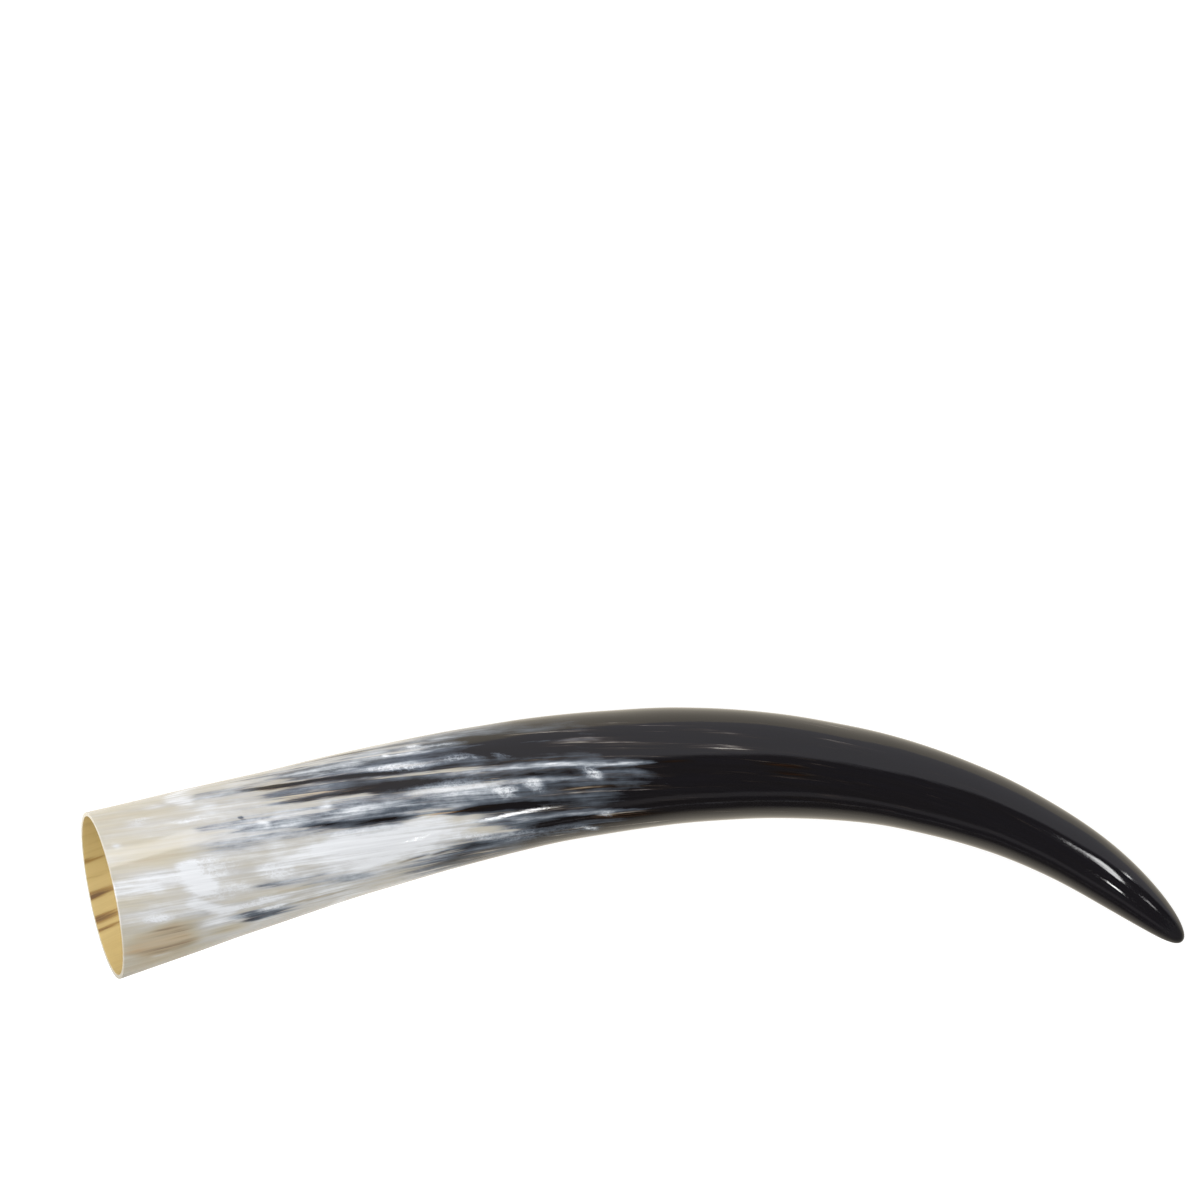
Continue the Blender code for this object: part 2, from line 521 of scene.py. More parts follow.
LATE_MARKS = (
    Mark(BLACK, 168, 134, 264, 114, 20, 0.60),
    Mark(BLACK, 188, 140, 262, 126, 14, 0.70),
    Mark(VEIL_AND_SHEEN, 182, 111, 262, 97, 6, 1.15, 0.6),
    Mark(VEIL_AND_SHEEN, 236, 101, 314, 90, 6, 0.90, 0.7),
    # Thin milky line on the top, which also paints a highlight on the polish.
    Mark(VEIL_AND_SHEEN, 262, 95.5, 302, 92, 3.5, 0.80),
    Mark(AMBER, 196, 113, 262, 103, 2.5, 0.60),
    Mark(AMBER, 296, 92.5, 322, 90.5, 3, 1.00),
    Mark(CREAM, 168, 101, 238, 89, 5, 0.60),
    Mark(VEIL_AND_SHEEN, 186, 97, 272, 83, 5, 0.75, 0.6),
    Mark(AMBER, 190, 102, 250, 91, 3, 0.50),
    Mark(CRAZED, 209, 91, 222, 84, 11, 1.10),
    Mark(CRAZED, 226, 89, 238, 82, 8, 0.80),
    Mark(CRAZED, 258, 92, 272, 85, 9, 1.30),
    # Milky veil, made stronger to paint a hazy reflection on the polish over the black.
    Mark(VEIL_AND_SHEEN, 268, 88, 306, 78, 10, 0.66),
    # Painted hazy reflection on the polish over the black, drawn as a milky veil.
    Mark(VEIL_AND_SHEEN, 258, 81, 310, 69, 10, 0.50),
    Mark(CREAM, 164, 78, 222, 65, 13, 0.80),
    Mark(AMBER, 178, 80, 212, 75, 3, 0.80),
    Mark(BLACK, 186, 79, 238, 69, 7, 0.80),
    Mark(VEIL_AND_SHEEN, 196, 88, 292, 66, 22, 0.40),
    Mark(CREAM, 168, 63, 228, 52, 11, 1.00),
    Mark(VEIL_AND_SHEEN, 202, 64, 258, 54, 8, 0.50),
    Mark(VEIL_AND_SHEEN, 226, 45, 304, 35, 9, 0.42),
    Mark(VEIL_AND_SHEEN, 226, 58, 312, 43, 5, 0.80, 0.7),
    Mark(CRAZED, 268, 50, 280, 46, 5, 1.10),
    Mark(AMBER, 252, 48, 312, 36, 6, 0.90),
    Mark(AMBER, 240, 80, 300, 70, 4, 0.65),
    Mark(VEIL_AND_SHEEN, 150, 143, 308, 112, 3, 0.50),
    Mark(CRAZED, 174, 144, 204, 137, 8, 0.60),
    Mark(CRAZED, 177, 150, 188, 147, 5, 1.40),
    Mark(MILK, 163, 142.5, 166, 141.5, 3, 1.20),
    Mark(CRAZED, 190, 125, 212, 118, 6, 0.90),
    Mark(CRAZED, 216, 121, 230, 115, 5, 0.60),
    Mark(BLACK, 184, 44, 214, 38, 8, 0.35),
    Mark(CRAZED, 200, 46, 262, 34, 17, 0.45),
    Mark(CRAZED, 186, 54, 210, 46, 10, 0.80),
    Mark(CRAZED, 252, 37, 263, 30, 11, 1.10),
    Mark(BLACK, 224, 49, 260, 43, 7, 0.50),
    Mark(AMBER, 352, 89, 388, 86, 4, 1.30),
    Mark(AMBER, 360, 80, 390, 77, 4, 1.10),
    Mark(VEIL_AND_SHEEN, 326, 106, 331, 104, 3, 0.90),
    Mark(VEIL_AND_SHEEN, 347, 69, 351, 67, 3, 1.10),
    Mark(VEIL_AND_SHEEN, 347, 140, 352, 138, 3, 0.80),
    Mark(VEIL_AND_SHEEN, 390, 54, 395, 52, 2.5, 0.90),
    Mark(VEIL_AND_SHEEN, 446, 106, 452, 98, 4, 0.90),
)

TOP_MARKS = MOUTH_MARKS + EARLY_MARKS + LATE_MARKS

# The brown streaks at the bottom of the hollow, which start inside the mouth.
INSIDE_STAINS = (
    Mark(BLACK, 4, 238, -40, 242, 6, 0.9),
    Mark(BLACK, 4, 263, -44, 272, 8, 1.3),
    Mark(BLACK, 4, 282, -44, 287, 9, 1.3),
    Mark(BLACK, 4, 291, -44, 296, 5, 1.0),
    Mark(BLACK, 4, 250, -40, 256, 4, 0.6),
)


@dataclass
class Keratin:
    """Where pigment, milk, amber tinge and cracks lie: pale at the mouth, black from mid-length on.

    Each rise gives a field's value at millimetres from the mouth. The seeded noises have grains of noise_mm,
    along the horn and in the two directions across it. In turn they sway marks along the horn, sway clouds
    and then streaks round it, and mottle the pigment and the haze. Further marks are scattered over the sides
    and the underside, where clouds and streaks have spans of length in millimetres and of width in degrees.
    """

    pigment_rise: Stations = (
        (-30, 0.12),
        (60, 0.12),
        (110, 0.16),
        (150, 0.24),
        (175, 0.42),
        (195, 0.72),
        (220, 0.95),
        (260, 1.04),
        (310, 1.14),
        (400, 1.34),
        (620, 1.60),
    )
    haze_rise: Stations = (
        (-30, 0.12),
        (50, 0.18),
        (90, 0.35),
        (130, 0.42),
        (180, 0.33),
        (230, 0.09),
        (290, -0.06),
        (325, -0.40),
        (620, -0.45),
    )
    amber_rise: Stations = (
        (-30, 0.32),
        (20, 0.25),
        (60, 0.14),
        (140, 0.12),
        (200, 0.16),
        (300, 0.14),
        (620, 0.00),
    )
    grain_drift: Stations = ((-60, 0.0), (240, -60.0), (300, -69.6), (618, -101.0))
    marks: tuple[Mark, ...] = TOP_MARKS
    inside_marks: tuple[Mark, ...] = INSIDE_STAINS
    inside_stain: Span = (0.22, 0.5)
    seed: int = 4
    fibre_radius: float = 0.035
    noise_mm: tuple[tuple[float, float, float], ...] = (
        (26, 12, 12),
        (22, 9, 9),
        (90, 14, 14),
        (34, 13, 13),
        (24, 11, 11),
    )
    mottle: Span = (0.09, 0.13)
    cloud_sway: Span = (6.0, 3.5)
    streak_sway: Span = (7.0, 0.8)
    hidden_marks: int = 46
    hidden_start: Span = (15, 270)
    hidden_turn: Span = (165.0, 372.0)
    hidden_strength: Span = (0.6, 1.0)
    hidden_pale_end: float = 60
    hidden_slant: float = 0.2
    cloud_sizes: tuple[Span, Span] = ((14, 40), (8, 22))
    streak_sizes: tuple[Span, Span] = ((40, 110), (4, 10))
    late_shortening: float = 0.4

    def hidden(self) -> list[Mark]:
        """Scatter marks like those of the top over the sides and the underside.

        Returns:
            The marks, which are the same each time.
        """
        dice = random.Random(self.seed)
        found = []
        for _ in range(self.hidden_marks):
            start = dice.uniform(*self.hidden_start)
            late = start / self.hidden_start[1]
            pale = (Growth.MILK, Growth.VEIL_AND_SHEEN, Growth.TAN)
            growth = dice.choice(pale if start < self.hidden_pale_end else tuple(Growth))
            lengths, widths = self.cloud_sizes if growth.is_cloud else self.streak_sizes
            length = dice.uniform(*lengths)
            if not growth.is_cloud:
                length *= 1.0 - self.late_shortening * late
            angle = dice.uniform(*self.hidden_turn)
            width = dice.uniform(*widths)
            strength = dice.uniform(*self.hidden_strength)
            end_angle = angle - self.hidden_slant * length
            found.append(Mark(growth, start, angle, start + length, end_angle, width, strength))
        return found

    def fields(self, distance: Array, angle: Array) -> dict[str, Array]:
        """Work out the pigment, the haze, the amber tinge and the crackle at places on the outside.

        Args:
            distance: Distances from the mouth, in metres.
            angle: Degrees round the section.

        Returns:
            Each field by its name: 0 is clear, and 1 is black, white, deep amber or full of cracks.
        """
        rises = {"pigment": self.pigment_rise, "haze": self.haze_rise, "amber": self.amber_rise}
        found = {name: np.interp(distance / MM, *np.array(rise).T) for name, rise in rises.items()}
        found["crackle"] = np.zeros(distance.shape)
        place = self.grain(distance, angle) / MM
        along, cloud_turn, streak_turn, darker, hazier = (
            noise(place / size, self.seed + i) for i, size in enumerate(self.noise_mm)
        )
        found["pigment"] += self.mottle[0] * darker
        found["haze"] += self.mottle[1] * hazier
        for mark in (*self.marks, *self.hidden()):
            is_cloud = mark.growth.is_cloud
            mm, degrees = self.cloud_sway if is_cloud else self.streak_sway
            turn = cloud_turn if is_cloud else streak_turn
            cover = mark.cover(distance + mm * MM * along, angle + degrees * turn)
            for name in found:
                found[name] += getattr(mark.growth, name) * cover
        return found

    def inside(self, distance: Array, angle: Array) -> Array:
        """Work out how deeply the raw inside is stained at places on it."""
        clear, added = self.inside_stain
        return clear + added * sum(mark.cover(distance, angle) for mark in self.inside_marks)

    def grain(self, distance: Array, angle: Array) -> Array:
        """Give coordinates that run along the fibres, which spiral slowly round the horn.

        Args:
            distance: Distances from the mouth, in metres.
            angle: Degrees round the section.

        Returns:
            An array with the distance and two coordinates across the fibres in its last dimension.
        """
        turned = np.radians(angle - np.interp(distance / MM, *np.array(self.grain_drift).T))
        sides = (self.fibre_radius * np.cos(turned), self.fibre_radius * np.sin(turned))
        return np.stack([distance, *sides], -1)


@dataclass(frozen=True)
class GrainSize:
    """The size of a noise's grains, along and across the fibres, and how many finer noises lie on it."""

    length_mm: float
    width_mm: float
    detail: float = 3.0

    @property
    def per_metre(self) -> tuple[float, float, float]:
        """How many grains fit in a metre along the fibres, and in the two directions across them."""
        across = 1.0 / (self.width_mm * MM)
        return 1.0 / (self.length_mm * MM), across, across


@dataclass(frozen=True)
class Disturbance:
    """How noises disturb a field: the strength of each, and how calm the field stays where it is low.

    The calm is the share of the noises that is left where the field is 0. They have their whole strength
    from where the field reaches the value full.
    """

    strengths: tuple[float, ...]
    calm: float = 1.0
    full: float = 1.0


@dataclass(frozen=True)
class KeratinFinish:
    """What both finishes of the horn share: noises that follow its fibres, and fields that they disturb."""

    name: str = "keratin_horn"

    def begin(self) -> tuple[bpy.types.Material, Tree, bpy.types.Node, Socket]:
        """Start the material.

        Returns:
            The material, its node tree, its shader and the coordinates along the fibres.
        """
        material = bpy.data.materials.new(self.name)
        material.use_nodes = True
        tree = material.node_tree
        grain = add_node(tree, "Attribute", {"attribute_name": "grain"})
        return material, tree, tree.nodes["Principled BSDF"], grain.outputs["Vector"]

    def pattern(self, tree: Tree, grain: Socket, size: GrainSize) -> Socket:
        """Add a noise with grains of a given size.

        Args:
            tree: The material's node tree.
            grain: Coordinates along the fibres, in metres.
            size: The size of the grains.

        Returns:
            The noise's value, about 0.5 on average.
        """
        stretched = add_node(tree, "VectorMath", {"operation": "MULTIPLY"}, {1: size.per_metre}, {0: grain})
        cloudy = add_node(
            tree,
            "TexNoise",
            values={"Scale": 1.0, "Detail": size.detail, "Roughness": NOISE_ROUGHNESS},
            links={"Vector": stretched.outputs[0]},
        )
        return cloudy.outputs["Fac"]

    def disturbed(self, tree: Tree, field: Socket, noises: Sequence[Socket], how: Disturbance) -> Socket:
        """Disturb a field with noises, less where the field is low.

        Args:
            tree: The material's node tree.
            field: The value to disturb.
            noises: The noises that disturb it.
            how: Their strengths, in the same order, and where they are calm.

        Returns:
            The disturbed value.
        """
        eased = {"interpolation_type": "SMOOTHSTEP"}
        span = {"From Max": how.full, "To Min": how.calm}
        scale = add_node(tree, "MapRange", eased, span, {"Value": field}).outputs[0]
        multiply_add = {"operation": "MULTIPLY_ADD"}
        value = field
        for source, strength in zip(noises, how.strengths):
            centred = add_node(tree, "Math", multiply_add, {1: strength, 2: -strength / 2}, {0: source})
            added = add_node(tree, "Math", multiply_add, links={0: centred.outputs[0], 1: scale, 2: value})
            value = added.outputs[0]
        return value


@dataclass(frozen=True)
class PolishedHorn(KeratinFinish):
    """Polished keratin horn, buffed until it shines like lacquer.

    To the eye it is a clear, amber layer over black and milky fibres, so a dark streak ends in a brown edge
    and a milky veil over black looks blue-grey.
    """

    name: str = "polished_keratin_horn"
    ior: float = 1.55
    roughness: Span = (0.05, 0.10)
    # The last few millimetres of the tip are worn dull by handling.
    worn_stretch: Span = (0.594, 0.610)
    worn_roughness: float = 0.34
    # Real fibres are about 0.1 mm wide. That is too fine to show, so they are drawn 1.5 mm wide.
    fibre: GrainSize = GrainSize(46.0, 1.5)
    streak: GrainSize = GrainSize(74.0, 3.6, 4.0)
    cloud: GrainSize = GrainSize(15.0, 8.0, 6.0)
    wisp: GrainSize = GrainSize(12.0, 2.2)
    edge: GrainSize = GrainSize(52.0, 3.4)
    fleck: GrainSize = GrainSize(2.2, 2.2, 4.0)
    darker: Disturbance = Disturbance((2.1, 2.4), calm=0.07, full=0.64)
    hazier: Disturbance = Disturbance((0.9, 0.7, 1.2), calm=0.25, full=0.60)
    warmer: Disturbance = Disturbance((0.6,))
    # Real cracks lie under 1 mm apart. They are drawn coarser, as a net that shows.
    crack: GrainSize = GrainSize(3.8, 2.6)
    crack_share: float = 0.22
    crack_haze: Span = (-0.10, 0.22)
    crack_wander: float = 1.6
    crack_bend: float = 1.8
    fibre_light: Span = (0.90, 1.08)
    bump_height: float = 0.00004
    ripple_strength: float = 0.6
    pit_strength: float = 0.4
    pigment_ramp: Ramp = (
        (0.00, "D5D2CB"),
        (0.20, "C8C5BE"),
        (0.34, "AFACA6"),
        (0.48, "7B7775"),
        (0.60, "4A4545"),
        (0.72, "2E2928"),
        (0.86, "231F1F"),
        (1.00, "1A181B"),
    )
    haze_ramp: Ramp = (
        (0.00, "000000"),
        (0.30, "69717A"),
        (0.60, "BBC0C5"),
        (0.90, "FAFBFC"),
    )
    amber_ramp: Ramp = (
        (0.00, "FFFFFF"),
        (0.30, "FFF9E6"),
        (0.60, "FFECCE"),
        (1.00, "FFC48C"),
    )
    milk: str = "F7F9FA"

    def dress(self) -> bpy.types.Material:
        """Make the material: pigment tinged with amber, under milk that hides it, under the gloss.

        Returns:
            The finished material.
        """
        material, tree, shader, grain = self.begin()
        pigment, haze, amber, crackle = (
            add_node(tree, "Attribute", {"attribute_name": field}).outputs["Fac"]
            for field in ("pigment", "haze", "amber", "crackle")
        )
        fibre, streak, cloud, wisp, edge = (
            self.pattern(tree, grain, size)
            for size in (self.fibre, self.streak, self.cloud, self.wisp, self.edge)
        )
        dark = self.disturbed(tree, pigment, (streak, fibre), self.darker)
        # The haze also carries painted highlights and a hazy reflection on the polish, from a few veil marks
        # near 260-310 mm.
        milky = self.disturbed(tree, haze, (cloud, wisp, fibre), self.hazier)
        warm = self.disturbed(tree, amber, (edge,), self.warmer)
        net = self.cracks(tree, grain)
        cracked = add_node(tree, "Math", {"operation": "MULTIPLY_ADD"}, links={0: net, 1: crackle, 2: milky})
        grey = add_node(tree, "ValToRGB", links={"Fac": dark}, stops=self.pigment_ramp)
        tinge = add_node(tree, "ValToRGB", links={"Fac": warm}, stops=self.amber_ramp)
        colours = {0: grey.outputs[0], 1: tinge.outputs[0]}
        under = add_node(tree, "VectorMath", {"operation": "MULTIPLY"}, links=colours)
        hidden = add_node(tree, "ValToRGB", links={"Fac": cracked.outputs[0]}, stops=self.haze_ramp)
        # Input 1 of a vector mix is its factor, and inputs 4 and 5 are what it mixes.
        layers = add_node(
            tree,
            "Mix",
            {"data_type": "VECTOR", "factor_mode": "NON_UNIFORM"},
            {5: linear(self.milk)[:3]},
            {1: hidden.outputs["Color"], 4: under.outputs[0]},
        )
        lit = {0: layers.outputs[1], "Scale": self.spread(tree, fibre, self.fibre_light)}
        fibrous = add_node(tree, "VectorMath", {"operation": "SCALE"}, links=lit)
        tree.links.new(fibrous.outputs[0], shader.inputs["Base Color"])
        self.gloss(tree, shader, grain, fibre)
        return material

    def spread(self, tree: Tree, source: Socket, over: Span) -> Socket:
        """Spread a noise over a range of values.

        Args:
            tree: The material's node tree.
            source: The noise.
            over: The values that stand for a low and a high noise.

        Returns:
            The spread value.
        """
        span = {"From Min": NOISE_LOW, "From Max": NOISE_HIGH, "To Min": over[0], "To Max": over[1]}
        return add_node(tree, "MapRange", values=span, links={"Value": source}).outputs[0]

    def cracks(self, tree: Tree, grain: Socket) -> Socket:
        """Add a net of fine cracks, where the keratin's layers have parted and look white.

        Args:
            tree: The material's node tree.
            grain: Coordinates along the fibres, in metres.

        Returns:
            What the cracks add to the haze: most along a crack, and less than nothing between them.
        """
        size = {1: self.crack.per_metre}
        stretched = add_node(tree, "VectorMath", {"operation": "MULTIPLY"}, size, {0: grain}).outputs[0]
        scale = {"Scale": self.crack_wander, "Detail": self.crack.detail}
        wander = add_node(tree, "TexNoise", values=scale, links={"Vector": stretched})
        bent = add_node(
            tree,
            "VectorMath",
            {"operation": "MULTIPLY_ADD"},
            {1: (self.crack_bend,) * 3},
            {0: wander.outputs["Color"], 2: stretched},
        )
        to_edge = {"feature": "DISTANCE_TO_EDGE"}
        cells = add_node(tree, "TexVoronoi", to_edge, {"Scale": 1.0}, {"Vector": bent.outputs[0]})
        between, along = self.crack_haze
        span = {"From Max": self.crack_share, "To Min": along, "To Max": between}
        return add_node(tree, "MapRange", values=span, links={"Value": cells.outputs["Distance"]}).outputs[0]

    def gloss(self, tree: Tree, shader: bpy.types.Node, grain: Socket, fibre: Socket) -> None:
        """Give the buffed shine, its faint fibres and flecks, and the duller end of the tip.

        Args:
            tree: The material's node tree.
            shader: The material's shader.
            grain: Coordinates along the fibres, in metres.
            fibre: The fine fibres' noise.
        """
        shader.inputs["IOR"].default_value = self.ior
        fleck = self.pattern(tree, grain, self.fleck)
        shine = self.spread(tree, fibre, self.roughness)
        along = add_node(tree, "SeparateXYZ", links={0: grain})
        start, end = self.worn_stretch
        worn = add_node(
            tree,
            "MapRange",
            {"interpolation_type": "SMOOTHSTEP"},
            {"From Min": start, "From Max": end, "To Max": self.worn_roughness - self.roughness[1]},
            {"Value": along.outputs["X"]},
        )
        rough = add_node(tree, "Math", {"operation": "ADD"}, links={0: shine, 1: worn.outputs[0]})
        tree.links.new(rough.outputs[0], shader.inputs["Roughness"])
        low = {"Strength": self.ripple_strength, "Distance": self.bump_height}
        ripple = add_node(tree, "Bump", values=low, links={"Height": fibre})
        fine = {"Strength": self.pit_strength, "Distance": self.bump_height}
        pitted = add_node(tree, "Bump", values=fine, links={"Height": fleck, "Normal": ripple.outputs[0]})
        tree.links.new(pitted.outputs[0], shader.inputs["Normal"])


@dataclass(frozen=True)
class RawHorn(KeratinFinish):
    """Raw keratin inside the horn, left as the bone core's sleeve and never polished.

    To the eye it is matt golden tan, with brown streaks along the horn.
    """

    name: str = "raw_keratin_horn"
    roughness: float = 0.62
    streak: GrainSize = GrainSize(60.0, 3.5)
    fibre: GrainSize = GrainSize(30.0, 0.9)
    darker: Disturbance = Disturbance((0.7, 0.35))
    ridge_height: float = 0.0002
    ridge_strength: float = 0.6
    stain_ramp: Ramp = (
        (0.00, "D6BE7E"),
        (0.45, "C6AC6D"),
        (0.62, "A58345"),
        (0.85, "70512A"),
    )

    def dress(self) -> bpy.types.Material:
        """Make the material.

        Returns:
            The finished material.
        """
        material, tree, shader, grain = self.begin()
        shader.inputs["Roughness"].default_value = self.roughness
        stain = add_node(tree, "Attribute", {"attribute_name": "pigment"}).outputs["Fac"]
        streak = self.pattern(tree, grain, self.streak)
        fibre = self.pattern(tree, grain, self.fibre)
        brown = self.disturbed(tree, stain, (streak, fibre), self.darker)
        colour = add_node(tree, "ValToRGB", links={"Fac": brown}, stops=self.stain_ramp)
        tree.links.new(colour.outputs["Color"], shader.inputs["Base Color"])
        height = {"Strength": self.ridge_strength, "Distance": self.ridge_height}
        ridges = add_node(tree, "Bump", values=height, links={"Height": fibre})
        tree.links.new(ridges.outputs[0], shader.inputs["Normal"])
        return material


@dataclass
class CowHorn:
    """The horn: one grown piece, hollow from its sawn mouth and solid at its tip.

    Its mesh is rings of points. Lengths are in metres.
    """

    form: HornForm
    keratin: Keratin
    outside_finish: PolishedHorn
    inside_finish: RawHorn
    columns: int = 190
    streaked_rows: int = 275
    black_rows: int = 84
    streaked_end: float = 0.330
    tip_start: float = 0.540
    tip_rows: int = 34
    rim_rounding: float = 0.0004
    rounding_rows: int = 5
    mouth_reach: float = 0.120
    near_inside_rows: int = 20
    near_inside_end: float = 0.040
    far_inside_rows: int = 68

    def outside_rows(self) -> Array:
        """Space the rows along the outside: close where it is streaked and where the tip rounds off.

        Returns:
            Distances from just inside the mouth to just before the tip, in metres.
        """
        streaked = np.linspace(0.0, self.streaked_end, self.streaked_rows, endpoint=False)
        black = np.linspace(self.streaked_end, self.tip_start, self.black_rows, endpoint=False)
        turn = np.linspace(0.0, math.pi / 2, self.tip_rows, endpoint=False)
        tip = self.tip_start + (self.form.length - self.tip_start) * np.sin(turn)
        return np.concatenate([streaked, black, tip])

    def inside_rows(self) -> Array:
        """Space the rows along the hollow, close where the mouth shows them.

        Returns:
            Distances from the mouth to just before the hollow's end, in metres.
        """
        near = np.linspace(0.0, self.near_inside_end, self.near_inside_rows, endpoint=False)
        turn = np.linspace(0.0, math.pi / 2, self.far_inside_rows, endpoint=False)
        far = self.near_inside_end + (self.form.hollow_depth - self.near_inside_end) * np.sin(turn)
        return np.concatenate([near, far])

    def slanted(self, rows: Array, cut: Array) -> Array:
        """Shift rows near the mouth so that they run parallel to the slanting cut.

        The first row also moves in from the cut, to leave room for the rim's rounding.

        Args:
            rows: Distances of the rows from the mouth's middle.
            cut: Distance of the cut at each column.

        Returns:
            A distance for each row and column.
        """
        fade = np.clip(1.0 - rows / self.mouth_reach, 0.0, 1.0) ** 2
        return rows[:, None] + self.rim_rounding * (rows[:, None] == 0.0) + cut[None, :] * fade[:, None]

    def rounding(self, start: Array, corner: Array, end: Array) -> Array:
        """Round an edge of the rim with a short curve from one face over the corner to the other."""
        t = np.linspace(0.0, 1.0, self.rounding_rows)[:, None, None]
        return (1 - t) ** 2 * start + 2 * t * (1 - t) * corner + t**2 * end

    def build(self) -> bpy.types.Object:
        """Build and dress the horn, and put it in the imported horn's place.

        Returns:
            The finished piece.
        """
        form = self.form
        angle = np.linspace(-90.0, 270.0, self.columns, endpoint=False)
        cut = form.cut_distance(angle, form.outside_radius)
        inner_cut = form.cut_distance(angle, form.hollow_radius)
        outer_s = self.slanted(self.outside_rows(), cut)
        inner_s = self.slanted(self.inside_rows(), inner_cut)
        turn_out = np.broadcast_to(angle, outer_s.shape)
        turn_in = np.broadcast_to(angle, inner_s.shape)
        outer = form.point(outer_s, turn_out, form.outside_radius(outer_s) + form.swell(outer_s, turn_out))
        inner = form.point(inner_s, turn_in, form.hollow_radius(inner_s))
        outer_corner = form.point(cut, angle, form.outside_radius(cut))
        inner_corner = form.point(inner_cut, angle, form.hollow_radius(inner_cut))
        across = inner_corner - outer_corner
        step = across / np.linalg.norm(across, axis=-1, keepdims=True) * self.rim_rounding
        outer_edge = self.rounding(outer[0], outer_corner, outer_corner + step)[1:]
        inner_edge = self.rounding(inner_corner - step, inner_corner, inner[0])[:-1]
        outer_rim = np.repeat(cut[None], len(outer_edge), 0)
        inner_rim = np.repeat(inner_cut[None], len(inner_edge), 0)
        rings = np.concatenate([outer[::-1], outer_edge, inner_edge, inner])
        ring_s = np.concatenate([outer_s[::-1], outer_rim, inner_rim, inner_s])
        tip = form.axis(np.array(form.length))[None, :]
        end = form.axis(np.array(form.hollow_depth))[None, :]
        polished = len(outer) + len(outer_edge) + len(inner_edge)
        mesh = self.mesh(np.concatenate([tip, rings.reshape(-1, 3), end]), len(rings), polished)
        self.paint(mesh, ring_s, np.broadcast_to(angle, ring_s.shape), polished)
        piece = bpy.data.objects.new("cow_horn", mesh)
        bpy.context.scene.collection.objects.link(piece)
        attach(piece, "root")
        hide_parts("horn")
        return piece

    def mesh(self, points: Array, rings: int, polished: int) -> bpy.types.Mesh:
        """Join the rings into one closed mesh with its two finishes.

        Args:
            points: The tip, the points of each ring in turn, and the hollow's end.
            rings: How many rings there are.
            polished: How many of them are polished, with the rim.

        Returns:
            The mesh, shaded smooth.
        """
        n = self.columns
        column = np.arange(n)
        row = np.arange(rings - 1)[:, None]
        here, right = 1 + row * n + column, 1 + row * n + (column + 1) % n
        quads = np.stack([here, right, right + n, here + n], -1).reshape(-1, 4)
        tip_fan = np.stack([np.zeros(n, int), 1 + (column + 1) % n, 1 + column], -1)
        last = 1 + (rings - 1) * n
        end_fan = np.stack([np.full(n, last + n), last + column, last + (column + 1) % n], -1)
        faces = [*tip_fan.tolist(), *quads.tolist(), *end_fan.tolist()]
        mesh = bpy.data.meshes.new("cow_horn")
        mesh.from_pydata(points.tolist(), [], faces)
        mesh.materials.append(self.outside_finish.dress())
        mesh.materials.append(self.inside_finish.dress())
        raw = np.zeros(len(faces), np.int32)
        raw[n + (polished - 1) * n :] = 1
        mesh.polygons.foreach_set("material_index", raw)
        mesh.shade_smooth()
        mesh.update()
        return mesh

    def paint(self, mesh: bpy.types.Mesh, distance: Array, angle: Array, polished: int) -> None:
        """Store on the mesh how its grain runs, and where pigment, milk, amber and cracks lie.

        Args:
            mesh: The horn's mesh.
            distance: Distance along the horn of each ring's points.
            angle: Degrees round the section of each ring's points.
            polished: How many rings are polished, with the rim.
        """
        fields = self.keratin.fields(distance, angle)
        fields["pigment"][polished:] = self.keratin.inside(distance[polished:], angle[polished:])
        grain = self.keratin.grain(distance, angle).reshape(-1, 3)
        tip, end = [self.form.length, 0.0, 0.0], [self.form.hollow_depth, 0.0, 0.0]
        grain = np.concatenate([[tip], grain, [end]])
        mesh.attributes.new("grain", "FLOAT_VECTOR", "POINT").data.foreach_set("vector", grain.ravel())
        for name, values in fields.items():
            flat = np.concatenate([[values[0, 0]], values.ravel(), [values[-1, 0]]])
            mesh.attributes.new(name, "FLOAT", "POINT").data.foreach_set("value", flat)


@dataclass(frozen=True)
class LitAcrylic:
    """The table's top: matt white acrylic, lit evenly from below.

    To the eye it is clean white and takes almost no shadow. The horn's polish mirrors its far side as a warm
    white line, which fades away on the -Y side.
    """

    name: str = "lit_white_acrylic"
    colour: str = "A8A8A7"
    roughness: float = 0.9
    specular: float = 0.0
    glow_colour: str = "FFFFFF"
    glow: float = 0.82
    mirror_colour: str = "FFF6E4"
    mirror_edge: Span = (-0.17, 0.02)
    mirror_strength: Span = (0.04, 1.0)

    def dress(self) -> bpy.types.Material:
        """Make the material.

        Returns:
            The finished material.
        """
        material = bpy.data.materials.new(self.name)
        material.use_nodes = True
        tree = material.node_tree
        shader = tree.nodes["Principled BSDF"]
        shader.inputs["Base Color"].default_value = linear(self.colour)
        shader.inputs["Roughness"].default_value = self.roughness
        shader.inputs["Specular IOR Level"].default_value = self.specular
        shader.inputs["Emission Color"].default_value = linear(self.glow_colour)
        shader.inputs["Emission Strength"].default_value = self.glow
        place = add_node(tree, "TexCoord").outputs["Object"]
        sides = add_node(tree, "SeparateXYZ", links={0: place})
        start, end = self.mirror_edge
        weak, strong = self.mirror_strength
        fading = add_node(
            tree,
            "MapRange",
            {"interpolation_type": "SMOOTHSTEP"},
            {"From Min": start, "From Max": end, "To Min": weak, "To Max": strong},
            {"Value": sides.outputs["Y"]},
        )
        warm = {"Color": linear(self.mirror_colour)}
        mirrored = add_node(tree, "Emission", values=warm, links={"Strength": fading.outputs[0]})
        glossy = add_node(tree, "LightPath").outputs["Is Glossy Ray"]
        both = add_node(tree, "MixShader", links={0: glossy, 1: shader.outputs[0], 2: mirrored.outputs[0]})
        tree.links.new(both.outputs[0], tree.nodes["Material Output"].inputs["Surface"])
        return material


class LampShape(Enum):
    """The outline of a soft light, by the name that the renderer has for it."""

    OVAL = "ELLIPSE"
    OBLONG = "RECTANGLE"


